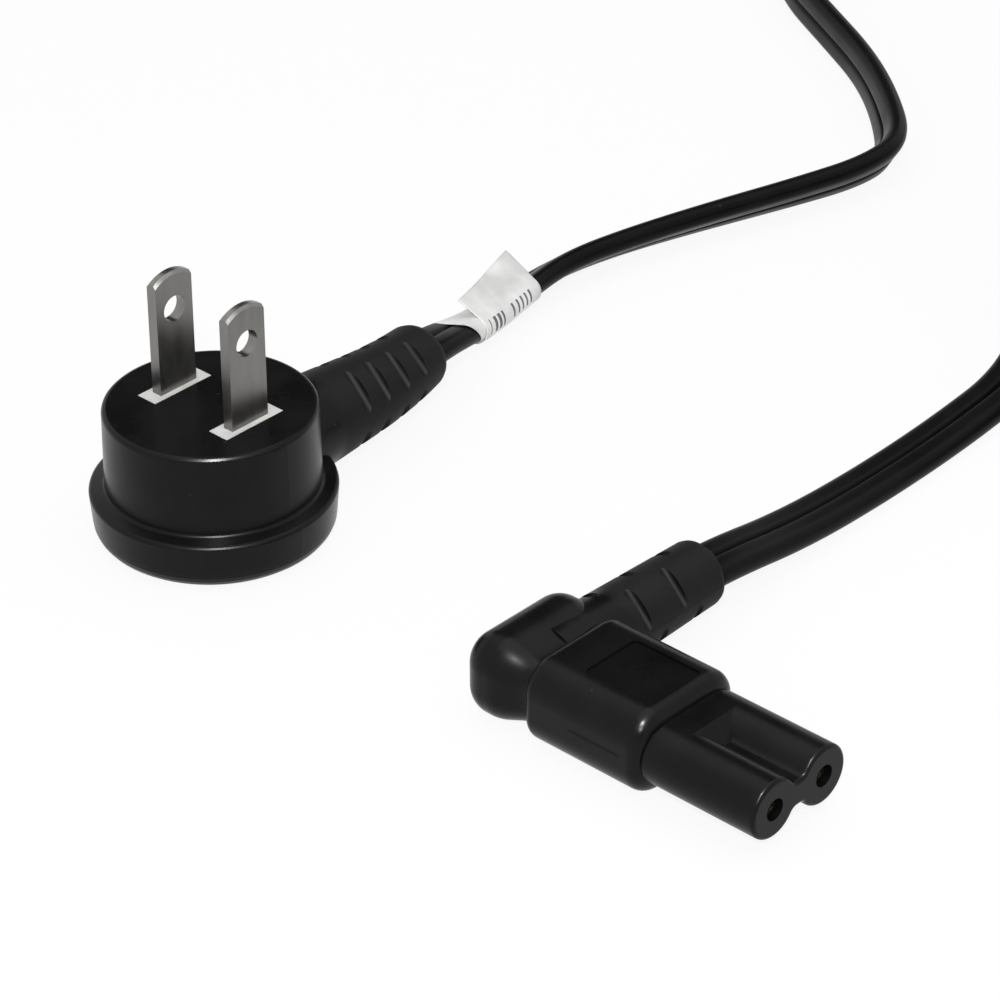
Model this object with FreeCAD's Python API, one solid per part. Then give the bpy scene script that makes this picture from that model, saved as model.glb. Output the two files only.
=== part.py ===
"""Right-angled figure-eight power connector on a flat twin cord, with a round two-blade plug. Millimetres.

+X runs along the nose towards the inlet that it plugs into, +Y along the cord where it leaves the connector, and +Z is up.
The origin lies near the middle of the block's flat underside, on the surface that everything lies on.
"""
import FreeCAD, Part
import math
import os

from FreeCAD import Vector

os.makedirs("parts", exist_ok=True)

# Connector: nose
PIN_SPACING = 8.6
LOBE_RADIUS = 3.8
NOSE_LENGTH = 16.2
NOSE_AXIS_HEIGHT = 5.5
WEB_HEIGHT = 3.4
WEB_START = 3.6
WEB_RUN_OUT = 2.2
WEB_CORNER_RADIUS = 1.1
NOSE_EDGE_RADIUS = 0.5
PIN_HOLE_RADIUS = 1.4
FRONT_WALL = 1.2

# Connector: tongue of the insert inside the block
TONGUE_LENGTH = 9.0
TONGUE_INSET = 1.0
KEY_LENGTH = 2.0
KEY_DEPTH = 0.6
KEY_FROM_SHOULDER = 4.0

# Connector: contacts
CONTACT_BORE_RADIUS = 1.22
CONTACT_WALL = 0.4
CONTACT_LENGTH = 11.5
CONTACT_SLIT = 0.5
CONTACT_SLIT_LENGTH = 8.5
CONTACT_CLEARANCE = 0.05
CRIMP_RADIUS = 1.0
CRIMP_LENGTH = 5.0

# Connector: block, waist and grip
BLOCK_FRONT = 8.4
BLOCK_REAR = 9.4
BLOCK_WIDTH = 17.2
BLOCK_HEIGHT = 11.0
BLOCK_CORNER_RADIUS = 4.0
BLOCK_FRONT_RADIUS = 2.0
BLOCK_REAR_RADIUS = 1.3
WAIST_LENGTH = 5.6
WAIST_DEPTH = 1.4
GRIP_LENGTH = 4.4
GRIP_WIDTH = 17.6
GRIP_REAR_RADIUS = 3.6
PANEL_LENGTH = 10.2
PANEL_WIDTH = 8.9
PANEL_DEPTH = 0.3
PANEL_OFFSET = 1.5
PANEL_CORNER_RADIUS = 0.8

# Connector: strain relief
RELIEF_OFFSET = 12.8
RELIEF_ROOT_RADIUS = 5.0
RELIEF_COLLAR_RADIUS = 4.35
RELIEF_END = 27.0
RELIEF_END_ROUND = 1.0
RELIEF_SLOT_START = 9.0
RELIEF_SLOT_PITCH = 3.25
RELIEF_SLOT_WIDTH = 1.3
RELIEF_SLOT_DEPTH = 1.0
RELIEF_SLOT_COUNT = 5

# Cord and its cores
CORD_WIDTH = 7.0
CORD_THICKNESS = 2.9
LEAD_RADIUS = 1.2
LEAD_SPACING = 3.4
STRAND_RADIUS = 0.6
STRAND_LENGTH = 3.0
LEAD_BEND_RADIUS = 3.0
PLUG_STRAND_LENGTH = 4.5
LEAD_LEVEL_LENGTH = 2.5
CORD_LEVEL_LENGTH = 7.0
LEAD_FLEX_SHARE = 0.35

# Plug: drum and flange
PLUG_X = -69.6
PLUG_Y = 0.35
PLUG_HEIGHT = 17.9
DRUM_RADIUS = 13.45
DRUM_DRAFT = 0.15
DRUM_EDGE_RADIUS = 0.6
LEDGE_HEIGHT = 6.95
LEDGE_ROUND = 0.4
LEDGE_SLOPE = 8.0
FLANGE_RADIUS = 15.6
FLANGE_TOP = 6.65
FLANGE_TAPER = 0.3
FLANGE_EDGE_RADIUS = 0.5
FLANGE_FOOT_RADIUS = 2.6

# Plug: blades and their bridge
BLADE_SPACING = 12.7
BLADE_WIDTH = 6.0
BLADE_THICKNESS = 1.52
BLADE_SHOULDER = 15.35
BLADE_TIP_RISE = 0.95
BLADE_TIP_CHAMFER = 0.35
BLADE_HOLE_RADIUS = 1.75
BLADE_HOLE_HEIGHT = 11.2
BLADE_DEPTH = 6.0
BLADE_TAIL_WIDTH = 3.0
BLADE_TAIL_LENGTH = 4.5
PAD_LENGTH = 9.5
PAD_WIDTH = 3.1
PAD_PROUD = 0.05
BRIDGE_THICKNESS = 2.4
BRIDGE_DEPTH = 3.0

# Plug: strain relief
PLUG_RELIEF_HEIGHT = 7.8
PLUG_RELIEF_ROOT_RADIUS = 6.6
PLUG_RELIEF_END_RADIUS = 4.5
PLUG_RELIEF_ROOT = 11.0
PLUG_RELIEF_STRAIGHT = 14.0
PLUG_RELIEF_FLEXED = 14.0
PLUG_RELIEF_FLEX_ANGLE = 14.0
PLUG_RELIEF_END_ROUND = 1.3
PLUG_SLOT_START = 22.0
PLUG_SLOT_PITCH = 3.7
PLUG_SLOT_WIDTH = 1.5
PLUG_SLOT_DEPTH = 0.9
PLUG_SLOT_COUNT = 4

# Cord: coil put away beyond the picture
COIL_X = 6.0
COIL_Y = 141.0
COIL_RADIUS = 38.0
COIL_TURNS_WIDE = 3
COIL_TURNS_HIGH = 2
COIL_TURN_GAP = 0.5
COIL_EDGE_CHAMFER = 1.5

# Cord: label
TAG_WIDTH = 12.4
TAG_THICKNESS = 0.25
TAG_FLAG_LENGTH = 7.0
TAG_LEAN = 45.0

# Share of a run that each bend of a path may take, and short chords that stand for a small rounding
BEND_SHARE = 0.45
ROUND_CHORDS = 3
FOOT_CHORDS = 6
LEAD_CHORDS = 3
RELIEF_CHORDS = 5

# Values that follow from the sizes above
SHOULDER_X = BLOCK_FRONT
NOSE_FRONT_X = SHOULDER_X + NOSE_LENGTH
CONTACT_FRONT_X = NOSE_FRONT_X - FRONT_WALL
CONTACT_REAR_X = CONTACT_FRONT_X - CONTACT_LENGTH
CRIMP_REAR_X = CONTACT_REAR_X - CRIMP_LENGTH
TONGUE_REAR_X = SHOULDER_X - TONGUE_LENGTH
WAIST_START_X = -BLOCK_REAR
GRIP_START_X = WAIST_START_X - WAIST_LENGTH
GRIP_REAR_X = GRIP_START_X - GRIP_LENGTH
BLOCK_MIDDLE_HEIGHT = BLOCK_HEIGHT / 2
CORD_LIE = CORD_THICKNESS / 2
UP = Vector(0, 0, 1)
PLUG_RELIEF_BEND = PLUG_RELIEF_ROOT + PLUG_RELIEF_STRAIGHT
PLUG_RELIEF_LENGTH = PLUG_RELIEF_BEND + PLUG_RELIEF_FLEXED

# Cord: points of the two runs, chosen by hand from the picture
CONNECTOR_ROUTE = [
    (-RELIEF_OFFSET, RELIEF_END, NOSE_AXIS_HEIGHT),
    (-RELIEF_OFFSET, 34.0, NOSE_AXIS_HEIGHT),
    (-13.3, 49.0, 3.1),
    (-13.9, 65.0, CORD_LIE),
    (-14.8, 81.0, CORD_LIE),
    (-16.2, 97.0, CORD_LIE),
    (-20.8, 112.0, CORD_LIE),
    (-29.0, 126.0, CORD_LIE),
]


def rounded_outline(half_width, half_height, radius, centre, across, upward):
    """Closed wire of a rounded rectangle, given in the plane of two directions."""
    radius = min(radius, half_width, half_height)
    u, v = half_width - radius, half_height - radius
    corners = [(u, v, 0.0), (-u, v, 90.0), (-u, -v, 180.0), (u, -v, 270.0)]

    def at(a, b, angle, distance):
        turn = math.radians(angle)
        return centre + across * (a + distance * math.cos(turn)) + upward * (b + distance * math.sin(turn))

    edges = []
    for index, (a, b, start) in enumerate(corners):
        arc = Part.Arc(at(a, b, start, radius), at(a, b, start + 45.0, radius), at(a, b, start + 90.0, radius))
        edges.append(arc.toShape())
        next_a, next_b, next_start = corners[(index + 1) % 4]
        first = at(a, b, start + 90.0, radius)
        second = at(next_a, next_b, next_start, radius)
        if first.distanceToPoint(second) > 1e-6:
            edges.append(Part.LineSegment(first, second).toShape())
    return Part.Wire(edges)


def plug_end_frame(distance):
    """Point and crosswise direction on the axis of the plug's strain relief, at a distance from the drum's middle."""
    flexed = max(0.0, distance - PLUG_RELIEF_BEND)
    bend_radius = PLUG_RELIEF_FLEXED / math.radians(PLUG_RELIEF_FLEX_ANGLE)
    angle = flexed / bend_radius
    x = PLUG_X - bend_radius * (1.0 - math.cos(angle))
    y = PLUG_Y + min(distance, PLUG_RELIEF_BEND) + bend_radius * math.sin(angle)
    return Vector(x, y, PLUG_RELIEF_HEIGHT), Vector(math.cos(angle), math.sin(angle), 0)


PLUG_EXIT, PLUG_EXIT_ACROSS = plug_end_frame(PLUG_RELIEF_LENGTH)

PLUG_ALONG = UP.cross(PLUG_EXIT_ACROSS)
PLUG_LEVEL_END = PLUG_EXIT + PLUG_ALONG * CORD_LEVEL_LENGTH

PLUG_ROUTE = [
    (PLUG_EXIT.x, PLUG_EXIT.y, PLUG_EXIT.z),
    (PLUG_LEVEL_END.x, PLUG_LEVEL_END.y, PLUG_LEVEL_END.z),
    (-76.2, 58.5, 5.6),
    (-79.9, 74.5, CORD_LIE),
    (-79.2, 87.0, CORD_LIE),
    (-75.3, 100.5, CORD_LIE),
    (-70.9, 114.5, CORD_LIE),
    (-66.4, 130.5, CORD_LIE),
    (-73.8, 142.5, CORD_LIE),
    (-85.5, 152.5, CORD_LIE),
    (-99.0, 161.0, CORD_LIE),
    (-113.0, 168.2, CORD_LIE),
    (-126.5, 179.0, CORD_LIE),
    (-131.0, 196.0, CORD_LIE),
    (-119.0, 211.0, CORD_LIE),
    (-99.0, 217.0, CORD_LIE),
    (-78.0, 214.0, CORD_LIE),
    (-59.0, 204.0, CORD_LIE),
    (-45.0, 188.0, CORD_LIE),
    (-37.0, 170.0, CORD_LIE),
    (-31.0, 152.0, CORD_LIE),
]


def rounded_path(points, radius=None):
    """Straight runs joined by tangent arcs, each as large as its runs allow, with the list of radii."""
    points = [Vector(*point) for point in points]
    edges = []
    radii = []
    start = points[0]
    for before, corner, after in zip(points, points[1:], points[2:]):
        towards = (before - corner).normalize()
        onwards = (after - corner).normalize()
        half_turn = (math.pi - towards.getAngle(onwards)) / 2
        shorter = min((before - corner).Length, (after - corner).Length)
        bend = radius or BEND_SHARE * shorter / math.tan(half_turn)
        reach = bend * math.tan(half_turn)
        first = corner + towards * reach
        second = corner + onwards * reach
        middle = (towards + onwards).normalize()
        top = corner + middle * (bend / math.cos(half_turn) - bend)
        edges.append(Part.LineSegment(start, first).toShape())
        edges.append(Part.Arc(first, top, second).toShape())
        radii.append(bend)
        start = second
    edges.append(Part.LineSegment(start, points[-1]).toShape())
    return Part.Wire(edges), radii


def round_tube(points, tube_radius, bend_radius=None):
    """Round rod along a path, with each bend made of a few short mitred lengths."""
    path, _ = rounded_path(points, bend_radius)
    spots = [Vector(*points[0])]
    for edge in path.Edges:
        straight = edge.Curve.TypeId == "Part::GeomLine"
        spots.extend(edge.discretize(2 if straight else LEAD_CHORDS + 1)[1:])
    section = Part.Wire(Part.Circle(spots[0], spots[1] - spots[0], tube_radius).toShape())
    return Part.makePolygon(spots).makePipeShell([section], True, False, 1)


def flat_cord(points, across):
    """Flat twin cord: its section pushed along each run and turned round each bend, with length and radii."""
    start = Vector(*points[0])
    section = Part.Face(rounded_outline(CORD_WIDTH / 2, CORD_THICKNESS / 2, CORD_THICKNESS / 2, start, across, UP))
    path, radii = rounded_path(points)
    stretches = []
    for edge in path.Edges:
        if edge.Curve.TypeId == "Part::GeomLine":
            step = edge.Vertexes[-1].Point - edge.Vertexes[0].Point
            stretches.append(section.extrude(step))
            section.translate(step)
        else:
            centre, axis, turn = edge.Curve.Center, edge.Curve.Axis, math.degrees(edge.Length / edge.Curve.Radius)
            stretches.append(section.revolve(centre, axis, turn))
            section.rotate(centre, axis, turn)
    return stretches[0].fuse(stretches[1:]).removeSplitter(), path.Length, radii


def lies_at(edge, axis, value):
    """True for an edge that lies in the plane where one coordinate has a value."""
    box = edge.BoundBox
    low, high = {"x": (box.XMin, box.XMax), "y": (box.YMin, box.YMax), "z": (box.ZMin, box.ZMax)}[axis]
    return abs(low - value) < 1e-3 and abs(high - value) < 1e-3


def rounded_at(shape, radius, axis, value):
    """Rounds every edge of a shape that lies in one plane."""
    return shape.makeFillet(radius, [edge for edge in shape.Edges if lies_at(edge, axis, value)])


def x_outline(x, half_width, half_height, radius):
    """Rounded rectangle across the connector at a place along it."""
    centre = Vector(x, 0, BLOCK_MIDDLE_HEIGHT)
    return rounded_outline(half_width, half_height, radius, centre, Vector(0, 1, 0), UP)


def x_bar(x, length, half_width, half_height, radius):
    """Straight bar with a rounded-rectangle section, from a place towards the nose."""
    return Part.Face(x_outline(x, half_width, half_height, radius)).extrude(Vector(length, 0, 0))


def turned_arc(centre_radius, centre_z, radius, start, end, chords):
    """Points of an arc in a half outline that is turned about an axis."""
    angles = [math.radians(start + (end - start) * step / chords) for step in range(chords + 1)]
    return [(centre_radius + radius * math.cos(angle), centre_z + radius * math.sin(angle)) for angle in angles]


def turned_body(outline, base, across, axis):
    """Solid of revolution from a half outline of distances from an axis and along it."""
    spots = [base + across * radius + axis * height for radius, height in outline]
    return Part.Face(Part.makePolygon(spots + spots[:1])).revolve(base, axis, 360)


def slot_cutters(point, across, radius, width, depth, angles):
    """Round rods laid across a strain relief, each leaving a short slot with a round floor."""
    slots = []
    for angle in angles:
        turn = math.radians(angle)
        outward = across * math.cos(turn) + UP * math.sin(turn)
        sideways = UP * math.cos(turn) - across * math.sin(turn)
        middle = point + outward * (radius - depth + width / 2)
        slots.append(Part.makeCylinder(width / 2, radius * 2, middle - sideways * radius, sideways))
    return slots


def connector_block():
    """Rounded block behind the nose."""
    block = x_bar(-BLOCK_REAR, BLOCK_REAR + BLOCK_FRONT, BLOCK_WIDTH / 2, BLOCK_HEIGHT / 2, BLOCK_CORNER_RADIUS)
    block = rounded_at(block, BLOCK_FRONT_RADIUS, "x", SHOULDER_X)
    return rounded_at(block, BLOCK_REAR_RADIUS, "x", WAIST_START_X)


def connector_waist():
    """Finger waist that narrows from the grip to the block, run on into the block."""
    steps = 4
    sections = []
    for step in range(steps + 1):
        share = step / steps
        inset = WAIST_DEPTH * (1.0 - math.cos(math.pi * share)) / 2
        x = GRIP_START_X + WAIST_LENGTH * share
        sections.append(x_outline(x, GRIP_WIDTH / 2 - inset, BLOCK_HEIGHT / 2 - inset, BLOCK_CORNER_RADIUS - inset))
    waist = Part.makeLoft(sections, True)
    neck_width = GRIP_WIDTH / 2 - WAIST_DEPTH
    neck_height = BLOCK_HEIGHT / 2 - WAIST_DEPTH
    neck = x_bar(WAIST_START_X, BLOCK_REAR_RADIUS * 2, neck_width, neck_height, BLOCK_CORNER_RADIUS - WAIST_DEPTH)
    return waist.fuse(neck)


def connector_grip():
    """Flared grip bar at the rear."""
    grip = x_bar(GRIP_REAR_X, GRIP_LENGTH, GRIP_WIDTH / 2, BLOCK_HEIGHT / 2, BLOCK_CORNER_RADIUS)
    return rounded_at(grip, GRIP_REAR_RADIUS, "x", GRIP_REAR_X)


def connector_relief():
    """Tapered strain relief that leaves sideways, with slots on alternate quarters."""
    base = Vector(-RELIEF_OFFSET, 0, NOSE_AXIS_HEIGHT)
    across, along = Vector(1, 0, 0), Vector(0, 1, 0)
    end = turned_arc(RELIEF_COLLAR_RADIUS - RELIEF_END_ROUND, RELIEF_END - RELIEF_END_ROUND, RELIEF_END_ROUND,
                     0, 90, ROUND_CHORDS)
    relief = turned_body([(0, 0), (RELIEF_ROOT_RADIUS, 0)] + end + [(0, RELIEF_END)], base, across, along)
    for index in range(RELIEF_SLOT_COUNT):
        y = RELIEF_SLOT_START + index * RELIEF_SLOT_PITCH
        radius = RELIEF_ROOT_RADIUS + (RELIEF_COLLAR_RADIUS - RELIEF_ROOT_RADIUS) * y / RELIEF_END
        first = 135.0 if index % 2 == 0 else 45.0
        relief = relief.cut(slot_cutters(base + along * y, across, radius, RELIEF_SLOT_WIDTH, RELIEF_SLOT_DEPTH,
                                         (first, first + 180.0)))
    return relief


def panel_recess():
    """Shallow recess in the block's top."""
    centre = Vector(PANEL_OFFSET, 0, BLOCK_HEIGHT - PANEL_DEPTH)
    outline = rounded_outline(PANEL_LENGTH / 2, PANEL_WIDTH / 2, PANEL_CORNER_RADIUS, centre,
                              Vector(1, 0, 0), Vector(0, 1, 0))
    return Part.Face(outline).extrude(UP)


def insert_body():
    """Figure-eight nose and its tongue, without the holes."""
    lobes = []
    for side in (-1, 1):
        start = Vector(SHOULDER_X, side * PIN_SPACING / 2, NOSE_AXIS_HEIGHT)
        lobes.append(Part.makeCylinder(LOBE_RADIUS, NOSE_LENGTH, start, Vector(1, 0, 0)))
    groove_x = SHOULDER_X + WEB_START
    floor_x = groove_x + WEB_RUN_OUT
    half_web = WEB_HEIGHT / 2
    outline = [(SHOULDER_X, LOBE_RADIUS), (groove_x, LOBE_RADIUS), (floor_x, half_web), (NOSE_FRONT_X, half_web),
               (NOSE_FRONT_X, -half_web), (floor_x, -half_web), (groove_x, -LOBE_RADIUS), (SHOULDER_X, -LOBE_RADIUS)]
    outline = [Vector(x, -PIN_SPACING / 2, NOSE_AXIS_HEIGHT + z) for x, z in outline]
    web = Part.Face(Part.makePolygon(outline + outline[:1])).extrude(Vector(0, PIN_SPACING, 0))
    nose = web.fuse(lobes).removeSplitter()
    inner = [edge for edge in nose.Edges if is_web_corner(edge)]
    nose = nose.makeFillet(WEB_CORNER_RADIUS, inner)
    nose = rounded_at(nose, NOSE_EDGE_RADIUS, "x", NOSE_FRONT_X)
    half_height = LOBE_RADIUS - TONGUE_INSET
    half_width = PIN_SPACING / 2 + half_height
    tongue = x_bar(TONGUE_REAR_X, TONGUE_LENGTH, half_width, half_height, half_height)
    key_x = SHOULDER_X - KEY_FROM_SHOULDER - KEY_LENGTH
    key = x_bar(key_x, KEY_LENGTH, half_width * 2, half_height * 2, half_height)
    key = key.cut(x_bar(key_x, KEY_LENGTH, half_width - KEY_DEPTH, half_height - KEY_DEPTH, half_height - KEY_DEPTH))
    return nose.fuse(tongue.cut(key)).removeSplitter()


def is_web_corner(edge):
    """True for the inner edges where the web meets the lobes."""
    box = edge.BoundBox
    half_web = WEB_HEIGHT / 2
    level = abs(abs(box.ZMin - NOSE_AXIS_HEIGHT) - half_web) < 1e-3 and box.ZLength < 1e-3
    return level and box.YLength < 1e-3 and box.XLength > WEB_RUN_OUT and abs(box.YMin) < PIN_SPACING / 2


def pin_holes():
    """Entry holes and the chambers behind them."""
    cutters = []
    chamber_radius = CONTACT_BORE_RADIUS + CONTACT_WALL + CONTACT_CLEARANCE
    for side in (-1, 1):
        y = side * PIN_SPACING / 2
        rear = Vector(TONGUE_REAR_X, y, NOSE_AXIS_HEIGHT)
        cutters.append(Part.makeCylinder(chamber_radius, CONTACT_FRONT_X - TONGUE_REAR_X, rear, Vector(1, 0, 0)))
        front = Vector(CONTACT_FRONT_X, y, NOSE_AXIS_HEIGHT)
        cutters.append(Part.makeCylinder(PIN_HOLE_RADIUS, FRONT_WALL, front, Vector(1, 0, 0)))
    return cutters


def insert_halves():
    """The bored insert as two halves that meet in the middle of the web, one round each contact."""
    insert = insert_body().cut(pin_holes())
    reach = NOSE_FRONT_X * 2
    sides = [Part.makeBox(reach, reach, reach, Vector(0, y, -NOSE_AXIS_HEIGHT)) for y in (-reach, 0)]
    return Part.makeCompound([insert.common(side).Solids[0] for side in sides])


def connector_contact(side):
    """Slit spring sleeve with a crimp barrel behind it."""
    y = side * PIN_SPACING / 2
    along = Vector(1, 0, 0)
    rear = Vector(CONTACT_REAR_X, y, NOSE_AXIS_HEIGHT)
    outer = CONTACT_BORE_RADIUS + CONTACT_WALL
    sleeve = Part.makeCylinder(outer, CONTACT_LENGTH, rear, along)
    bore_start = rear + along * CONTACT_WALL * 2
    sleeve = sleeve.cut(Part.makeCylinder(CONTACT_BORE_RADIUS, CONTACT_LENGTH, bore_start, along))
    slit_corner = Vector(CONTACT_FRONT_X - CONTACT_SLIT_LENGTH, y - CONTACT_SLIT / 2, NOSE_AXIS_HEIGHT)
    sleeve = sleeve.cut(Part.makeBox(CONTACT_SLIT_LENGTH, CONTACT_SLIT, outer * 2, slit_corner))
    crimp_start = Vector(CRIMP_REAR_X, y, NOSE_AXIS_HEIGHT)
    crimp = Part.makeCylinder(CRIMP_RADIUS, CRIMP_LENGTH, crimp_start, along)
    crimp = crimp.cut(Part.makeCylinder(STRAND_RADIUS, STRAND_LENGTH, crimp_start, along))
    return sleeve.fuse(crimp).removeSplitter()


def connector_lead(side):
    """Insulated core from the cord's end to a contact."""
    lane = -RELIEF_OFFSET + side * LEAD_SPACING / 2
    y = side * PIN_SPACING / 2
    z = NOSE_AXIS_HEIGHT
    points = [(CRIMP_REAR_X - STRAND_RADIUS, y, z), (lane, y, z), (lane, RELIEF_END, z)]
    return round_tube(points, LEAD_RADIUS, LEAD_BEND_RADIUS)


def connector_strands(side):
    """Bare copper end that sits in the contact's crimp."""
    start = Vector(CRIMP_REAR_X - STRAND_RADIUS, side * PIN_SPACING / 2, NOSE_AXIS_HEIGHT)
    return Part.makeCylinder(STRAND_RADIUS, STRAND_RADIUS + STRAND_LENGTH, start, Vector(1, 0, 0))


def connector_overmould(leads):
    """Block, waist, grip and strain relief, moulded as one round the insert and the cores."""
    body = connector_block().fuse([connector_waist(), connector_grip(), connector_relief()]).removeSplitter()
    return body.cut([panel_recess(), insert_body()] + leads)


def plug_drum():
    """Drum, ledge and flange, turned about the plug's axis."""
    foot_radius = FLANGE_RADIUS - FLANGE_TAPER
    wall_radius = DRUM_RADIUS + DRUM_DRAFT
    outline = [(0, 0)]
    outline += turned_arc(foot_radius - FLANGE_FOOT_RADIUS, FLANGE_FOOT_RADIUS, FLANGE_FOOT_RADIUS, -90, 0, FOOT_CHORDS)
    outline += turned_arc(FLANGE_RADIUS - FLANGE_EDGE_RADIUS, FLANGE_TOP - FLANGE_EDGE_RADIUS, FLANGE_EDGE_RADIUS,
                          0, 90 - LEDGE_SLOPE, ROUND_CHORDS)
    outline += turned_arc(wall_radius + LEDGE_ROUND, LEDGE_HEIGHT + LEDGE_ROUND, LEDGE_ROUND,
                          270 - LEDGE_SLOPE, 180, ROUND_CHORDS)
    outline += turned_arc(DRUM_RADIUS - DRUM_EDGE_RADIUS, PLUG_HEIGHT - DRUM_EDGE_RADIUS, DRUM_EDGE_RADIUS,
                          0, 90, ROUND_CHORDS)
    outline.append((0, PLUG_HEIGHT))
    return turned_body(outline, Vector(PLUG_X, PLUG_Y, 0), Vector(1, 0, 0), UP)


def plug_relief_radius(distance):
    """Outer radius of the plug's strain relief at a distance from the drum's middle."""
    share = (distance - PLUG_RELIEF_ROOT) / (PLUG_RELIEF_LENGTH - PLUG_RELIEF_ROOT)
    return PLUG_RELIEF_ROOT_RADIUS + (PLUG_RELIEF_END_RADIUS - PLUG_RELIEF_ROOT_RADIUS) * share


def plug_ring(distance, inset=0.0):
    """Circle round the axis of the plug's strain relief, inset from its surface."""
    point, across = plug_end_frame(distance)
    return Part.Wire(Part.Circle(point, across.cross(UP), plug_relief_radius(distance) - inset).toShape())


def plug_relief():
    """Strain relief of the plug: straight at its root and flexed by the cord towards its end."""
    rings = [plug_ring(PLUG_RELIEF_ROOT), plug_ring(PLUG_RELIEF_BEND)]
    round_start = PLUG_RELIEF_LENGTH - PLUG_RELIEF_END_ROUND
    for step in range(1, RELIEF_CHORDS + 1):
        rings.append(plug_ring(PLUG_RELIEF_BEND + (round_start - PLUG_RELIEF_BEND) * step / RELIEF_CHORDS))
    for inset, rise in turned_arc(PLUG_RELIEF_END_ROUND, 0, PLUG_RELIEF_END_ROUND, 180, 90, ROUND_CHORDS)[1:]:
        rings.append(plug_ring(round_start + rise, inset))
    relief = Part.makeLoft(rings, True, True)
    for index in range(PLUG_SLOT_COUNT):
        distance = PLUG_SLOT_START + index * PLUG_SLOT_PITCH
        point, across = plug_end_frame(distance)
        relief = relief.cut(slot_cutters(point, across, plug_relief_radius(distance), PLUG_SLOT_WIDTH,
                                         PLUG_SLOT_DEPTH, (45.0, 135.0, 225.0, 315.0)))
    return relief


def plug_blade_body(side):
    """Flat blade with a round tip and a hole, standing on a narrower tail."""
    half = BLADE_WIDTH / 2
    x = PLUG_X + side * BLADE_SPACING / 2 - BLADE_THICKNESS / 2
    low, shoulder = PLUG_HEIGHT - BLADE_DEPTH, PLUG_HEIGHT + BLADE_SHOULDER
    corners = [Vector(x, PLUG_Y + y, z) for y, z in ((half, shoulder), (half, low), (-half, low), (-half, shoulder))]
    tip = Part.Arc(corners[3], Vector(x, PLUG_Y, shoulder + BLADE_TIP_RISE), corners[0]).toShape()
    sides = [Part.LineSegment(a, b).toShape() for a, b in zip(corners, corners[1:])]
    blade = Part.Face(Part.Wire(sides + [tip])).extrude(Vector(BLADE_THICKNESS, 0, 0))
    blade = blade.makeChamfer(BLADE_TIP_CHAMFER, [edge for edge in blade.Edges if is_tip_edge(edge, shoulder)])
    hole = Part.makeCylinder(BLADE_HOLE_RADIUS, BLADE_THICKNESS * 2,
                             Vector(x - BLADE_THICKNESS / 2, PLUG_Y, PLUG_HEIGHT + BLADE_HOLE_HEIGHT), Vector(1, 0, 0))
    tail = Part.makeBox(BLADE_THICKNESS, BLADE_TAIL_WIDTH, BLADE_TAIL_LENGTH,
                        Vector(x, PLUG_Y - BLADE_TAIL_WIDTH / 2, low - BLADE_TAIL_LENGTH))
    return blade.cut(hole).fuse(tail).removeSplitter()


def is_tip_edge(edge, shoulder):
    """True for the two curved edges of a blade's tip."""
    box = edge.BoundBox
    return box.XLength < 1e-3 and box.ZMin > shoulder - 1e-3 and box.YLength > BLADE_WIDTH / 2


def plug_bridge_body():
    """Insulating bridge: a plate inside the drum with a pad round each blade, up to the drum's face."""
    plate_top = PLUG_HEIGHT - BRIDGE_DEPTH
    plate_width = BLADE_SPACING + PAD_WIDTH
    corner = Vector(PLUG_X - plate_width / 2, PLUG_Y - PAD_LENGTH / 2, plate_top - BRIDGE_THICKNESS)
    bridge = Part.makeBox(plate_width, PAD_LENGTH, BRIDGE_THICKNESS, corner)
    for side in (-1, 1):
        pad_corner = Vector(PLUG_X + side * BLADE_SPACING / 2 - PAD_WIDTH / 2, PLUG_Y - PAD_LENGTH / 2, plate_top)
        bridge = bridge.fuse(Part.makeBox(PAD_WIDTH, PAD_LENGTH, BRIDGE_DEPTH + PAD_PROUD, pad_corner))
    return bridge.removeSplitter()


def plug_strand_x(side):
    """Place across the plug where a core's bare end lies against its blade's tail."""
    return PLUG_X + side * (BLADE_SPACING / 2 - BLADE_THICKNESS / 2 - STRAND_RADIUS)


def plug_lead(side):
    """Insulated core from the cord's end to a blade's tail."""
    offset = side * LEAD_SPACING / 2
    tail_y = PLUG_Y + BLADE_TAIL_WIDTH
    points = [(plug_strand_x(side), tail_y + run, PLUG_RELIEF_HEIGHT) for run in (0.0, LEAD_LEVEL_LENGTH)]
    middle = PLUG_RELIEF_BEND + PLUG_RELIEF_FLEXED * LEAD_FLEX_SHARE
    for distance in (PLUG_RELIEF_ROOT, middle, PLUG_RELIEF_LENGTH + LEAD_RADIUS):
        point, across = plug_end_frame(distance)
        spot = point + across * offset
        points.append((spot.x, spot.y, spot.z))
    return round_tube(points, LEAD_RADIUS)


def plug_strands(side):
    """Bare copper end beside a blade's tail."""
    start = Vector(plug_strand_x(side), PLUG_Y + BLADE_TAIL_WIDTH, PLUG_RELIEF_HEIGHT)
    return Part.makeCylinder(STRAND_RADIUS, PLUG_STRAND_LENGTH, start, Vector(0, -1, 0))


def plug_overmould(inner):
    """Drum, ledge, flange and strain relief, moulded as one round the bridge and the cores."""
    return plug_drum().fuse(plug_relief()).removeSplitter().cut(inner)


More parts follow.
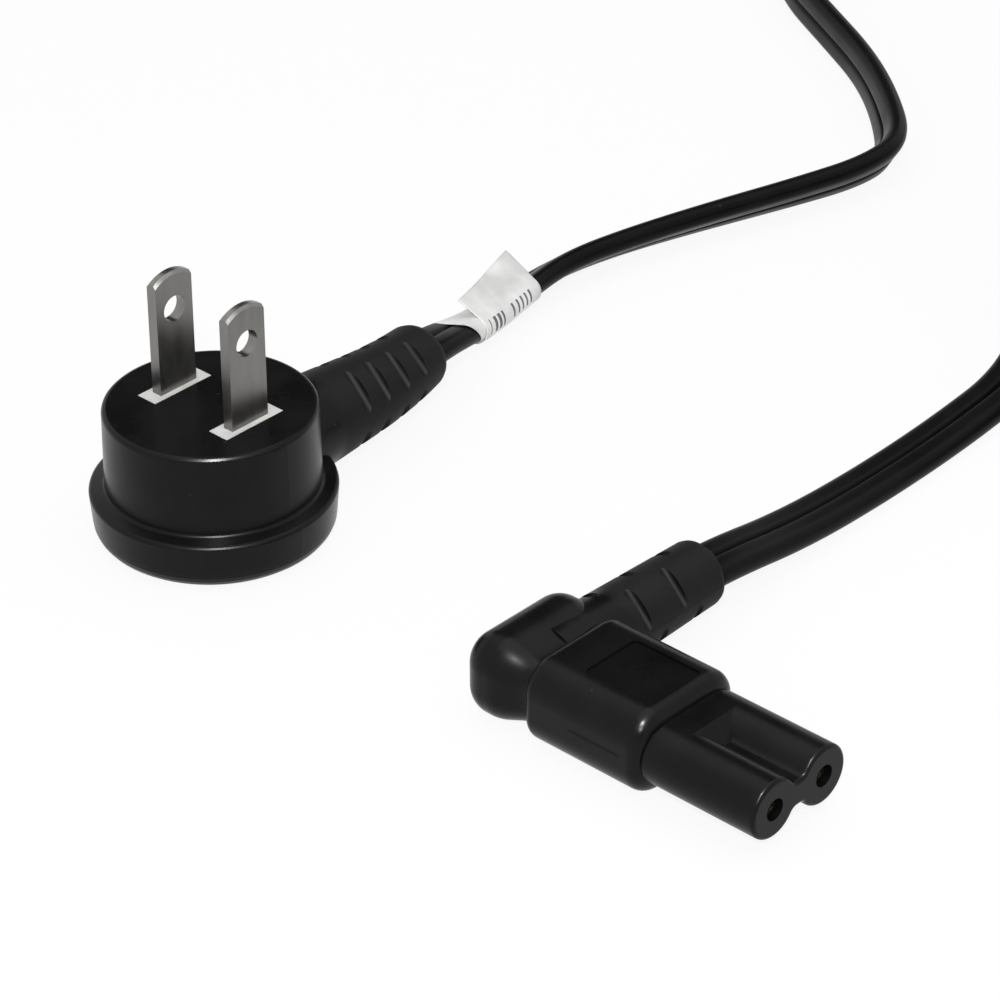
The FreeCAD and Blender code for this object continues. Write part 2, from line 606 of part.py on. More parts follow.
def cord_coil():
    """Outer shape of the coil that the put-away length fills."""
    half_width = (COIL_TURNS_WIDE * CORD_THICKNESS + (COIL_TURNS_WIDE - 1) * COIL_TURN_GAP) / 2
    height = COIL_TURNS_HIGH * CORD_WIDTH
    inner, outer = COIL_RADIUS - half_width, COIL_RADIUS + half_width
    cut = COIL_EDGE_CHAMFER
    outline = [(inner + cut, 0), (outer - cut, 0), (outer, cut), (outer, height - cut), (outer - cut, height),
               (inner + cut, height), (inner, height - cut), (inner, cut)]
    outline = [Vector(COIL_X + radius, COIL_Y, z) for radius, z in outline]
    return Part.Face(Part.makePolygon(outline + outline[:1])).revolve(Vector(COIL_X, COIL_Y, 0), UP, 360)


def cord_tag():
    """Label folded round the cord, with its free end standing up from the side that faces out."""
    before, after = Vector(*PLUG_ROUTE[2]), Vector(*PLUG_ROUTE[3])
    along = (after - before).normalize()
    across = along.cross(UP).normalize()
    upward = across.cross(along)
    start = (before + after) / 2 - along * TAG_WIDTH / 2
    inner = TAG_THICKNESS

    def sleeve(extra):
        half_width, half_height = CORD_WIDTH / 2 + extra, CORD_THICKNESS / 2 + extra
        outline = rounded_outline(half_width, half_height, half_height, start, across, upward)
        return Part.Face(outline).extrude(along * TAG_WIDTH)

    band = sleeve(inner + TAG_THICKNESS).cut(sleeve(inner))
    lean = math.radians(TAG_LEAN)
    outward = across * math.cos(lean) + upward * math.sin(lean)
    flag = Part.makeBox(TAG_WIDTH, TAG_THICKNESS, TAG_FLAG_LENGTH, Vector(0, 0, -TAG_FLAG_LENGTH))
    foot = start + across * (CORD_WIDTH - CORD_THICKNESS) / 2 + outward * (CORD_THICKNESS / 2 + inner)
    frame = FreeCAD.Rotation(along, outward, along.cross(outward), "XYZ")
    flag.Placement = FreeCAD.Placement(foot, frame).multiply(flag.Placement)
    return band.fuse(flag).removeSplitter()


def build_connector():
    """Every piece of the connector by its node name."""
    leads = {side: connector_lead(side) for side in (-1, 1)}
    strands = {side: connector_strands(side) for side in (-1, 1)}
    pieces = {
        "connector_overmould": connector_overmould(list(leads.values())),
        "connector_insert": insert_halves(),
    }
    for side, name in ((-1, "left"), (1, "right")):
        pieces["connector_contact_" + name] = connector_contact(side)
        pieces["connector_lead_" + name] = leads[side]
        pieces["connector_strands_" + name] = strands[side]
    return pieces


def build_plug():
    """Every piece of the plug by its node name."""
    blades = {side: plug_blade_body(side) for side in (-1, 1)}
    leads = {side: plug_lead(side) for side in (-1, 1)}
    strands = {side: plug_strands(side) for side in (-1, 1)}
    bridge = plug_bridge_body()
    inner = [bridge] + list(blades.values()) + list(leads.values()) + list(strands.values())
    pieces = {
        "plug_overmould": plug_overmould(inner),
        "plug_bridge": bridge.cut(list(blades.values())),
    }
    for side, name in ((-1, "left"), (1, "right")):
        pieces["plug_blade_" + name] = blades[side]
        pieces["plug_lead_" + name] = leads[side]
        pieces["plug_strands_" + name] = strands[side]
    return pieces


def build_cord():
    """The cord's two runs, its coil and its label, by node name."""
    coil = cord_coil()
    pieces = {"cord_coil": coil, "cord_tag": cord_tag()}
    section_area = (CORD_WIDTH - CORD_THICKNESS) * CORD_THICKNESS + math.pi * CORD_THICKNESS ** 2 / 4
    for name, route, across in (("cord_run_connector", CONNECTOR_ROUTE, Vector(1, 0, 0)),
                                ("cord_run_plug", PLUG_ROUTE, PLUG_EXIT_ACROSS)):
        cord, length, radii = flat_cord(route, across)
        share = cord.Volume / (section_area * length)
        print(name, "length", round(length, 1), "radii", [round(radius, 1) for radius in radii], "fill", round(share, 4))
        pieces[name] = cord.cut(coil)
    return pieces


pieces = {}
for group in (build_connector(), build_plug(), build_cord()):
    pieces.update(group)
for name in ("plug_lead_left", "plug_lead_right", "cord_tag"):
    pieces[name] = pieces[name].cut(pieces["cord_run_plug"])
for name, shape in sorted(pieces.items()):
    print(name, "solids", len(shape.Solids), "valid", shape.isValid(), "volume", round(shape.Volume, 2))
    shape.exportStep(os.path.join("parts", name + ".step"))
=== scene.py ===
"""Right-angled figure-eight power cord: the look of every part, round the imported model. Metres."""
import math

import bmesh
import bpy
from bpy.props import FloatProperty, FloatVectorProperty, PointerProperty
from mathutils import Matrix, Vector


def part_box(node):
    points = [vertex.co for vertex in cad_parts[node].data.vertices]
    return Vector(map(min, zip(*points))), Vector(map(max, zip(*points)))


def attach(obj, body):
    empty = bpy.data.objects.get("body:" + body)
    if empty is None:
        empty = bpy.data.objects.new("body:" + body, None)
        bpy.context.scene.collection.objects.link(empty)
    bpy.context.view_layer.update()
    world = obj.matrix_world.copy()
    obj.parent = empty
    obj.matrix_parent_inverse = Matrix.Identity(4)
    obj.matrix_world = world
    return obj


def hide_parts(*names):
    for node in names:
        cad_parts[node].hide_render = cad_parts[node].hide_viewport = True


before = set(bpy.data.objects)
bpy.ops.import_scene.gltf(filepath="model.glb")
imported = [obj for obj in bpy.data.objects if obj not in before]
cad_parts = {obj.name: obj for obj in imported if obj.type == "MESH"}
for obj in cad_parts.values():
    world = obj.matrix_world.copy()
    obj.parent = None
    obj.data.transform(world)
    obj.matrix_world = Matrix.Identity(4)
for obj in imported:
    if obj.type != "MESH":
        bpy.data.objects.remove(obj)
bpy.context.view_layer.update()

bl_info = {
    "name": "Figure-eight power cord",
    "version": (1, 0, 0),
    "blender": (4, 5, 0),
    "location": "View3D > Sidebar > Power cord",
    "description": "Dresses a power cord: flat twin cord, moulded connector, plug, blades and label",
    "category": "Object",
}

UP = Vector((0, 0, 1))
ROOT = "root"

# Where the cord's line runs, with the angle in degrees that its wide side is turned from level
ON_EDGE = -90
CONNECTOR_ROUTE = [
    (-0.0128, 0.0270, 0.00550, -5),
    (-0.0128, 0.0310, 0.00530, -6),
    (-0.0131, 0.0450, 0.00280, -3),
    (-0.0137, 0.0610, 0.00155, 0),
    (-0.0142, 0.0780, 0.00150, 0),
    (-0.0158, 0.0960, 0.00160, 0),
    (-0.0215, 0.1085, 0.00290, -45),
]
PLUG_ROUTE = [
    (-0.0365, 0.1570, 0.00800, ON_EDGE),
    (-0.0385, 0.1715, 0.00400, ON_EDGE),
    (-0.0450, 0.1880, 0.00350, ON_EDGE),
    (-0.0590, 0.2040, 0.00350, ON_EDGE),
    (-0.0780, 0.2140, 0.00350, ON_EDGE),
    (-0.0990, 0.2170, 0.00350, ON_EDGE),
    (-0.1190, 0.2110, 0.00350, ON_EDGE),
    (-0.1305, 0.1960, 0.00350, ON_EDGE),
    (-0.1265, 0.1790, 0.00350, ON_EDGE),
    (-0.1135, 0.1673, 0.00350, ON_EDGE),
    (-0.0996, 0.1595, 0.00350, ON_EDGE),
    (-0.0867, 0.1521, 0.00350, -88),
    (-0.0763, 0.1438, 0.00345, -77),
    (-0.0670, 0.1342, 0.00330, -61),
    (-0.0663, 0.1255, 0.00315, -53),
    (-0.0696, 0.1140, 0.00305, -48),
    (-0.0743, 0.1000, 0.00290, -44),
    (-0.0780, 0.0870, 0.00285, -40),
    (-0.0798, 0.0760, 0.00285, -40),
    (-0.0786, 0.0660, 0.00300, -34),
    (-0.0750, 0.0535, 0.00460, -16),
    (-0.0721, 0.0426, 0.00760, 0),
]
PLUG_EXIT = (-0.0713, 0.03921, 0.0078, 0)
LINE_STEPS = 12

# The coil outside the picture, with its start in degrees and two points beyond its last whole turn
COIL_CENTRE = (0.006, 0.141)
COIL_START = 208.0
COIL_POINTS_A_TURN = 16
COIL_TURNS = 5
COIL_LAST_POINTS = 2
# Places outside the middle at which the coil starts, and the way of each step, one at the start of each turn
COIL_FIRST_PLACE = 2
COIL_STEPS = (-1, -1, -1, 1, 1)
# Half of the part of a turn that a step takes, and the whole turns before the climb to the upper layer
COIL_STEP_HALF = 0.06
COIL_CLIMB_TURN = 2

# Steps round each round end of the cord's section, and the slope of its groove:
# the share of the way out to a core's middle, and the share of the groove's depth
END_STEPS = 12
GROOVE_SLOPE = ((0.60, 0.0), (0.30, 0.02), (0.18, 0.14), (0.10, 0.5), (0.04, 0.9))

# Short plain bars on the label, each from and to a distance along it
LABEL_BARS = [
    (0.0012, 0.0016), (0.0026, 0.0032), (0.0038, 0.0044), (0.0051, 0.0056),
    (0.0080, 0.0084), (0.0094, 0.0100), (0.0107, 0.0113), (0.0120, 0.0126), (0.0133, 0.0138),
]
# Rows of faces along the label, and steps of the film's path across the cord
LABEL_STATIONS = 66
HALF_TURN_STEPS = 14
LEAVE_STEPS = 16
FLAG_STEPS = 14
# The step at which the film starts to lose its skew, and the steps that carry the bars
UNSKEW_STEP = 16
INKED_STEPS = range(37, 45)
# Gap between cord and film, rise of the second turn over the first, and the angle of the film's start
FILM_GAP = 0.00003
FILM_RISE = 0.00018
FILM_START_ANGLE = 0.2
# The flag's edge at the label's two ends, across the cord and upwards
FLAG_TIPS = (Vector((-0.0010, 0.0040)), Vector((-0.0023, 0.0058)))

# Parting line on the block's side: X and Z of its middle, its steps along and round
SEAM_X = 0.0014
SEAM_Z = 0.0055
SEAM_STEPS = 24
SEAM_CORNERS = 6
# Its taper towards its ends, its height there, and its spread and sink as shares of its height
SEAM_TAPER = 0.25
SEAM_END = 0.02
SEAM_SPREAD = 1.2
SEAM_SINK = 0.2

# Where along Y each strain relief turns dull, and by how much its roughness grows
CONNECTOR_MATT = (0.0095, 0.0115)
PLUG_MATT = (0.0165, 0.0185)
MATT_EXTRA = 0.3

# The part of a noise over which tone and gloss change, and their shares of a finish's own at both ends
TONE_BAND = (0.35, 0.65)
PLASTIC_TONES = (0.85, 1.2)
METAL_TONES = (0.93, 1.05)
GLOSS_BAND = (0.3, 0.7)
GLOSS_SHARES = (0.9, 1.15)

# Plastic: scales of its uneven tone and of its dust specks, the noise that makes a speck and how much shows
TONE_SCALE = 160.0
SPECK_SCALE = 900.0
SPECK_BAND = (0.78, 0.84)
SPECK_SHARE = 0.03
DUST = (0.5, 0.5, 0.48, 1)

# Camera: the point that it looks at, the width of its frame and where its view begins
TARGET = Vector((-0.04208, 0.02302, 0.005))
SENSOR_WIDTH = 36.0
CLIP_START = 0.01
# How far from that point the lamps and the dark cards hang, and the top lamp's own place
KEY_DISTANCE = 0.62
KEY_SHIFT = Vector((-0.01, 0.0, 0.09))
GLINT_REACH = 0.38
GLINT_HEIGHT = 0.51
CARD_DISTANCE = 0.75
TOP_PLACE = (-0.05, 0.10, 0.9)
# Strength of the surroundings as light and as what is seen, and the share of the floor that glows white
WORLD_LIGHT = 0.55
WORLD_SEEN = 1.0
FLOOR_GLOW = 0.9


class PowerCordSheath(bpy.types.PropertyGroup):
    """Flat twin cord."""
    width: FloatProperty(name="Width", description="Across both cores", default=0.0070, unit="LENGTH")
    thickness: FloatProperty(name="Thickness", description="Across one core", default=0.0029, unit="LENGTH")
    groove: FloatProperty(name="Groove", description="Depth of the groove between the cores",
                          default=0.0006, unit="LENGTH")
    length: FloatProperty(name="Length", description="Whole cord, from moulding to moulding",
                          default=1.8, unit="LENGTH")
    coil_radius: FloatProperty(name="Coil radius", description="Middle of the coil's turns",
                               default=0.0387, unit="LENGTH")
    coil_pitch: FloatProperty(name="Coil pitch", description="From one turn to the next",
                              default=0.0034, unit="LENGTH")
    colour: FloatVectorProperty(name="Colour", description="Sheath colour", subtype="COLOR", size=3,
                                default=(0.0026, 0.0026, 0.0028), min=0, max=1)


class PowerCordMoulding(bpy.types.PropertyGroup):
    """Soft black mouldings and the harder nose."""
    colour: FloatVectorProperty(name="Moulding colour", description="Soft plastic of connector and plug",
                                subtype="COLOR", size=3, default=(0.0034, 0.0034, 0.0036), min=0, max=1)
    roughness: FloatProperty(name="Roughness", description="Of the soft plastic", default=0.28,
                             min=0, max=1, subtype="FACTOR")
    nose_roughness: FloatProperty(name="Nose roughness", description="Of the hard plastic", default=0.3,
                                  min=0, max=1, subtype="FACTOR")
    seam_length: FloatProperty(name="Seam length", description="Of the parting line on the block's side",
                               default=0.0078, unit="LENGTH")
    seam_height: FloatProperty(name="Seam height", description="How far the parting line stands proud",
                               default=0.00005, unit="LENGTH")


class PowerCordMetal(bpy.types.PropertyGroup):
    """The blades' metal: nickel's colour, darkened all over as painted shade."""
    # Partly nickel's own colour, darkened all over as painted shade for the blades' darker lower part
    blade: FloatVectorProperty(name="Blade colour", description="Nickel plating", subtype="COLOR", size=3,
                               default=(0.21, 0.205, 0.197), min=0, max=1)


class PowerCordLabel(bpy.types.PropertyGroup):
    """Label film, wrapped round the cord with one end standing off as a flag."""
    start: FloatProperty(name="Start", description="Distance from the plug's relief, along the cord",
                         default=0.0115, unit="LENGTH")
    width: FloatProperty(name="Width", description="Along the cord", default=0.0165, unit="LENGTH")
    thickness: FloatProperty(name="Thickness", description="Of the film", default=0.00014, unit="LENGTH")
    skew: FloatProperty(name="Skew", description="How far the first turn lies askew, towards the plug",
                        default=0.0033, unit="LENGTH")
    film: FloatVectorProperty(name="Film colour", description="White film", subtype="COLOR", size=3,
                              default=(0.66, 0.66, 0.655), min=0, max=1)
    ink: FloatVectorProperty(name="Ink colour", description="Grey bars", subtype="COLOR", size=3,
                             default=(0.10, 0.10, 0.105), min=0, max=1)


class PowerCordStage(bpy.types.PropertyGroup):
    """Floor and camera."""
    floor_size: FloatProperty(name="Floor size", description="Side of the floor", default=6.0, unit="LENGTH")
    azimuth: FloatProperty(name="Azimuth", description="Camera direction round the object",
                           default=math.radians(42.98), subtype="ANGLE")
    elevation: FloatProperty(name="Elevation", description="Camera height angle",
                             default=math.radians(32.07), subtype="ANGLE")
    roll: FloatProperty(name="Roll", description="Camera roll", default=math.radians(-0.28), subtype="ANGLE")
    distance: FloatProperty(name="Distance", description="Camera to the point that it looks at",
                            default=0.4969, unit="LENGTH")
    lens: FloatProperty(name="Lens", description="Focal length in mm on a 36 mm frame", default=144.0)


def soften(share):
    """Runs smoothly from 0 to 1 as share does."""
    share = min(1.0, max(0.0, share))
    return share * share * (3 - 2 * share)


def tones(colour, shares):
    """A colour made darker and lighter by these shares."""
    return [tuple(min(1.0, part * share) for part in colour) for share in shares]


def new_material(name):
    """Empty node material with its shader and output joined."""
    material = bpy.data.materials.new(name)
    material.use_nodes = True
    tree = material.node_tree
    tree.nodes.clear()
    shader = tree.nodes.new("ShaderNodeBsdfPrincipled")
    output = tree.nodes.new("ShaderNodeOutputMaterial")
    tree.links.new(shader.outputs["BSDF"], output.inputs["Surface"])
    return material, tree, shader


def object_noise(tree, scale, detail=2.0, stretch=(1, 1, 1)):
    """Noise fixed to the object, in features per metre."""
    place = tree.nodes.new("ShaderNodeTexCoord")
    mapping = tree.nodes.new("ShaderNodeMapping")
    mapping.inputs["Scale"].default_value = stretch
    noise = tree.nodes.new("ShaderNodeTexNoise")
    noise.inputs["Scale"].default_value = scale
    noise.inputs["Detail"].default_value = detail
    tree.links.new(place.outputs["Object"], mapping.inputs["Vector"])
    tree.links.new(mapping.outputs["Vector"], noise.inputs["Vector"])
    return noise


def value_range(tree, value, start, end, low, high):
    """A value between start and end, mapped to the range from low to high."""
    band = tree.nodes.new("ShaderNodeMapRange")
    band.inputs["From Min"].default_value = start
    band.inputs["From Max"].default_value = end
    band.inputs["To Min"].default_value = low
    band.inputs["To Max"].default_value = high
    tree.links.new(value, band.inputs["Value"])
    return band.outputs["Result"]


def tint(tree, source, dark, light):
    """Colour that a noise varies between two."""
    ramp = tree.nodes.new("ShaderNodeValToRGB")
    for index, colour in enumerate((dark, light)):
        ramp.color_ramp.elements[index].position = TONE_BAND[index]
        ramp.color_ramp.elements[index].color = (*colour, 1)
    tree.links.new(source.outputs["Fac"], ramp.inputs["Fac"])
    return ramp.outputs["Color"]


def uneven_gloss(tree, shader, source, roughness):
    """Roughness that a noise varies a little."""
    low, high = (roughness * share for share in GLOSS_SHARES)
    gloss = value_range(tree, source.outputs["Fac"], *GLOSS_BAND, low, high)
    tree.links.new(gloss, shader.inputs["Roughness"])


def relief(tree, shader, source, height):
    """Surface relief from a noise, with its height in metres."""
    bump = tree.nodes.new("ShaderNodeBump")
    bump.inputs["Strength"].default_value = 1.0
    bump.inputs["Distance"].default_value = height
    tree.links.new(source.outputs["Fac"], bump.inputs["Height"])
    tree.links.new(bump.outputs["Normal"], shader.inputs["Normal"])


def plastic(name, colour, roughness, grain=5000.0, height=0.000004, specular=0.13):
    """Moulded plastic with a fine spark-eroded grain, uneven gloss and a few pale specks of dust."""
    material, tree, shader = new_material(name)
    shader.inputs["Specular IOR Level"].default_value = specular
    broad = object_noise(tree, TONE_SCALE, detail=3.0)
    specks = object_noise(tree, SPECK_SCALE, detail=1.0)
    dusty = tree.nodes.new("ShaderNodeMix")
    dusty.data_type = "RGBA"
    share, clean, dust = dusty.inputs[0], dusty.inputs[6], dusty.inputs[7]
    dust.default_value = DUST
    tree.links.new(value_range(tree, specks.outputs["Fac"], *SPECK_BAND, 0.0, SPECK_SHARE), share)
    tree.links.new(tint(tree, broad, *tones(colour, PLASTIC_TONES)), clean)
    tree.links.new(dusty.outputs[2], shader.inputs["Base Color"])
    uneven_gloss(tree, shader, broad, roughness)
    relief(tree, shader, object_noise(tree, grain), height)
    return material


def matt_beyond(material, start, full):
    """Roughness that grows along the object's Y, for a relief duller than the rest of its moulding."""
    tree = material.node_tree
    shader = next(node for node in tree.nodes if node.type == "BSDF_PRINCIPLED")
    gloss = shader.inputs["Roughness"].links[0].from_socket
    place = tree.nodes.new("ShaderNodeTexCoord")
    parts = tree.nodes.new("ShaderNodeSeparateXYZ")
    total = tree.nodes.new("ShaderNodeMath")
    tree.links.new(place.outputs["Object"], parts.inputs["Vector"])
    tree.links.new(gloss, total.inputs[0])
    tree.links.new(value_range(tree, parts.outputs["Y"], start, full, 0.0, MATT_EXTRA), total.inputs[1])
    tree.links.new(total.outputs["Value"], shader.inputs["Roughness"])


def metal(name, colour, roughness, stretch, grain=1500.0, height=0.000003):
    """Metal with drawn or stamped streaks."""
    material, tree, shader = new_material(name)
    shader.inputs["Metallic"].default_value = 1.0
    streaks = object_noise(tree, grain, detail=4.0, stretch=stretch)
    tree.links.new(tint(tree, streaks, *tones(colour, METAL_TONES)), shader.inputs["Base Color"])
    uneven_gloss(tree, shader, streaks, roughness)
    relief(tree, shader, streaks, height)
    return material


def shineless(name, scale, dark, light, roughness):
    """Material without any shine, in a grey that varies between two, for what belongs to the stage."""
    material, tree, shader = new_material(name)
    grey = tint(tree, object_noise(tree, scale), (dark, dark, dark), (light, light, light))
    tree.links.new(grey, shader.inputs["Base Color"])
    shader.inputs["Roughness"].default_value = roughness
    shader.inputs["Specular IOR Level"].default_value = 0.0
    return material, tree, shader


def dress(node, material):
    """Gives a CAD node its material."""
    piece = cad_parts[node]
    if not piece.material_slots:
        piece.data.materials.append(material)
    for slot in piece.material_slots:
        slot.material = material


def linked_object(name, data):
    """New object in the scene."""
    piece = bpy.data.objects.new(name, data)
    bpy.context.scene.collection.objects.link(piece)
    return piece


def built_object(name, builder):
    """New object in the scene from a mesh that is being built."""
    mesh = bpy.data.meshes.new(name)
    builder.to_mesh(mesh)
    builder.free()
    return linked_object(name, mesh)


def square(name, side):
    """Flat square object round its own middle."""
    half = side / 2
    corners = [(-half, -half, 0), (half, -half, 0), (half, half, 0), (-half, half, 0)]
    mesh = bpy.data.meshes.new(name)
    mesh.from_pydata(corners, [], [(0, 1, 2, 3)])
    return linked_object(name, mesh)


def skin_rings(builder, rings):
    """Closed skin over a row of rings."""
    for ring, following in zip(rings, rings[1:]):
        for index in range(len(ring)):
            other = (index + 1) % len(ring)
            builder.faces.new((ring[index], ring[other], following[other], following[index]))
    builder.faces.new(reversed(rings[0]))
    builder.faces.new(rings[-1])
    bmesh.ops.recalc_face_normals(builder, faces=builder.faces)


def nurbs_samples(points, resolution):
    """Points of a smooth line that has these control points."""
    curve = bpy.data.curves.new("line", "CURVE")
    curve.dimensions = "3D"
    curve.resolution_u = resolution
    spline = curve.splines.new("NURBS")
    spline.points.add(len(points) - 1)
    for point, place in zip(spline.points, points):
        point.co = (*place, 1)
    spline.order_u = 3
    spline.use_endpoint_u = True
    holder = linked_object("line", curve)
    bpy.context.view_layer.update()
    mesh = bpy.data.meshes.new_from_object(holder)
    samples = [vertex.co.copy() for vertex in mesh.vertices]
    bpy.data.objects.remove(holder)
    bpy.data.curves.remove(curve)
    bpy.data.meshes.remove(mesh)
    return samples


def coil_points(sheath):
    """Five turns on edge: two on the floor going inwards, one climbing inside, two on top going outwards."""
    low, high = sheath.width / 2, sheath.width * 1.5
    points = []
    for index in range(COIL_TURNS * COIL_POINTS_A_TURN + COIL_LAST_POINTS):
        turn = index / COIL_POINTS_A_TURN
        place = 0.0
        for step, way in enumerate(COIL_STEPS):
            place += way * soften((turn - step + COIL_STEP_HALF) / (2 * COIL_STEP_HALF))
        radius = sheath.coil_radius + sheath.coil_pitch * (place + COIL_FIRST_PLACE)
        height = low + (high - low) * soften(turn - COIL_CLIMB_TURN)
        angle = math.radians(COIL_START - 360.0 * turn)
        points.append((COIL_CENTRE[0] + radius * math.cos(angle), COIL_CENTRE[1] + radius * math.sin(angle),
                       height, ON_EDGE))
    return points


def cord_line(sheath):
    """Points along the whole cord, each with the turn of its wide side."""
    route = CONNECTOR_ROUTE + coil_points(sheath) + PLUG_ROUTE + [PLUG_EXIT]
    samples = nurbs_samples([place[:3] for place in route], LINE_STEPS)
    turned = nurbs_samples([(place[3], index, 0) for index, place in enumerate(route)], LINE_STEPS)
    if len(turned) != len(samples):
        raise RuntimeError("the cord's line and its turns don't match")
    return samples, [math.radians(value.x) for value in turned]


def cord_section(sheath):
    """Outline of the flat twin cord: two round ends, flat faces and a narrow groove in the middle of each."""
    core = sheath.thickness / 2
    reach = sheath.width / 2 - core
    half = [(reach * place, sheath.groove * share - core) for place, share in reversed(GROOVE_SLOPE)]
    for step in range(END_STEPS + 1):
        angle = math.radians(-90 + 180 * step / END_STEPS)
        half.append((reach + core * math.cos(angle), core * math.sin(angle)))
    half += [(reach * place, core - sheath.groove * share) for place, share in GROOVE_SLOPE]
    half.append((0.0, core - sheath.groove))
    return half + [(-across, -upward) for across, upward in half]


def tube(name, samples, turns, outline):
    """Closed mesh that carries an outline along a line of points."""
    builder = bmesh.new()
    rings = []
    for index, point in enumerate(samples):
        before = samples[max(0, index - 1)]
        after = samples[min(len(samples) - 1, index + 1)]
        tangent = (after - before).normalized()
        level = tangent.cross(UP).normalized()
        upward = level.cross(tangent)
        wide = level * math.cos(turns[index]) + upward * math.sin(turns[index])
        thin = upward * math.cos(turns[index]) - level * math.sin(turns[index])
        rings.append([builder.verts.new(point + wide * a + thin * b) for a, b in outline])
    skin_rings(builder, rings)
    piece = built_object(name, builder)
    for face in piece.data.polygons:
        face.use_smooth = len(face.vertices) == 4
    return piece


class PowerCordLayCord(bpy.types.Operator):
    """Lays the flat twin cord from the connector through its coil to the plug"""
    bl_idname = "power_cord.lay_cord"
    bl_label = "Lay cord"

    def execute(self, context):
        sheath = context.scene.power_cord_sheath
        samples, turns = cord_line(sheath)
        cord = tube("cord", samples, turns, cord_section(sheath))
        cord.data.materials.append(plastic("sheath_black", tuple(sheath.colour), roughness=0.34,
                                           grain=2600.0, specular=0.07))
        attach(cord, ROOT)
        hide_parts("cord_run_connector", "cord_coil", "cord_run_plug")
        return {"FINISHED"}


def place_on_cord(samples, turns, distance):
    """Point, directions across the cord and turn, at a distance back from the plug's relief."""
    left = distance
    for index in range(len(samples) - 1, 0, -1):
        step = (samples[index] - samples[index - 1]).length
        if left <= step or index == 1:
            break
        left -= step
    share = left / step
    point = samples[index].lerp(samples[index - 1], share)
    tangent = (samples[index - 1] - samples[index]).normalized()
    level = tangent.cross(UP).normalized()
    turn = -(turns[index] * (1 - share) + turns[index - 1] * share)
    return point, level, level.cross(tangent), turn


def arc(centre, start, end, radius_start, radius_end, steps):
    """Points of an arc whose radius grows evenly."""
    points = []
    for step in range(steps + 1):
        angle = start + (end - start) * step / steps
        radius = radius_start + (radius_end - radius_start) * step / steps
        points.append(centre + radius * Vector((math.cos(angle), math.sin(angle))))
    return points


def label_profile(turn, lobe, reach, tip):
    """The film's path across the cord: one turn round both cores, part of a second, then the flag."""
    near = Vector((reach * math.cos(turn), reach * math.sin(turn)))
    quarter = math.pi / 2
    outer = lobe + FILM_RISE
    far = tip - near
    leaves = math.atan2(far.y, far.x) - math.acos(outer / far.length)
    points = arc(near, turn - quarter - FILM_START_ANGLE, turn + quarter, lobe, lobe, HALF_TURN_STEPS)
    points += arc(-near, turn + quarter, turn + 3 * quarter, lobe, outer, HALF_TURN_STEPS)
    points += arc(near, turn - quarter, leaves, outer, outer, LEAVE_STEPS)
    last = points[-1]
    return points + [last.lerp(tip, step / FLAG_STEPS) for step in range(1, FLAG_STEPS + 1)]


class PowerCordWrapLabel(bpy.types.Operator):
    """Wraps the white label film round the cord, with its end standing off as a flag"""
    bl_idname = "power_cord.wrap_label"
    bl_label = "Wrap label"

    def execute(self, context):
        label = context.scene.power_cord_label
        builder = bmesh.new()
        rows = self.film_rows(builder, context.scene.power_cord_sheath, label)
        self.film_faces(builder, rows, label.width)
        piece = built_object("label", builder)
        film = piece.modifiers.new("film", "SOLIDIFY")
        film.thickness = label.thickness
        film.offset = 0.0
        piece.data.materials.append(plastic("label_film", tuple(label.film), roughness=0.42,
                                            grain=1200.0, height=0.000003, specular=0.4))
        piece.data.materials.append(plastic("label_ink", tuple(label.ink), roughness=0.5,
                                            grain=3000.0, height=0.000002, specular=0.3))
        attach(piece, ROOT)
        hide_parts("cord_tag")
        return {"FINISHED"}

    @staticmethod
    def film_rows(builder, sheath, label):
        """Rows of corners across the film, one for each station along the cord."""
        samples, turns = cord_line(sheath)
        lobe = sheath.thickness / 2 + label.thickness / 2 + FILM_GAP
        reach = sheath.width / 2 - sheath.thickness / 2
        rows = []
        for station in range(LABEL_STATIONS + 1):
            share = station / LABEL_STATIONS
            tip = FLAG_TIPS[0].lerp(FLAG_TIPS[1], share)
            along = label.start + label.width * share
            turn = place_on_cord(samples, turns, along)[3]
            row = []
            for index, spot in enumerate(label_profile(turn, lobe, reach, tip)):
                askew = label.skew * (soften(index / HALF_TURN_STEPS)
                                      - soften((index - UNSKEW_STEP) / HALF_TURN_STEPS))
                point, level, upward, _ = place_on_cord(samples, turns, along - askew)
                row.append(builder.verts.new(point + level * spot.x + upward * spot.y))
            rows.append(row)
        return rows

    @staticmethod
    def film_faces(builder, rows, width):
        """The film's faces, with the bars in the second material."""
        for station, (row, following) in enumerate(zip(rows, rows[1:])):
            middle = width * (station + 0.5) / LABEL_STATIONS
            barred = any(low <= middle <= high for low, high in LABEL_BARS)
            for index in range(len(row) - 1):
                face = builder.faces.new((row[index], row[index + 1], following[index + 1], following[index]))
                face.smooth = True
                face.material_index = 1 if barred and index in INKED_STEPS else 0


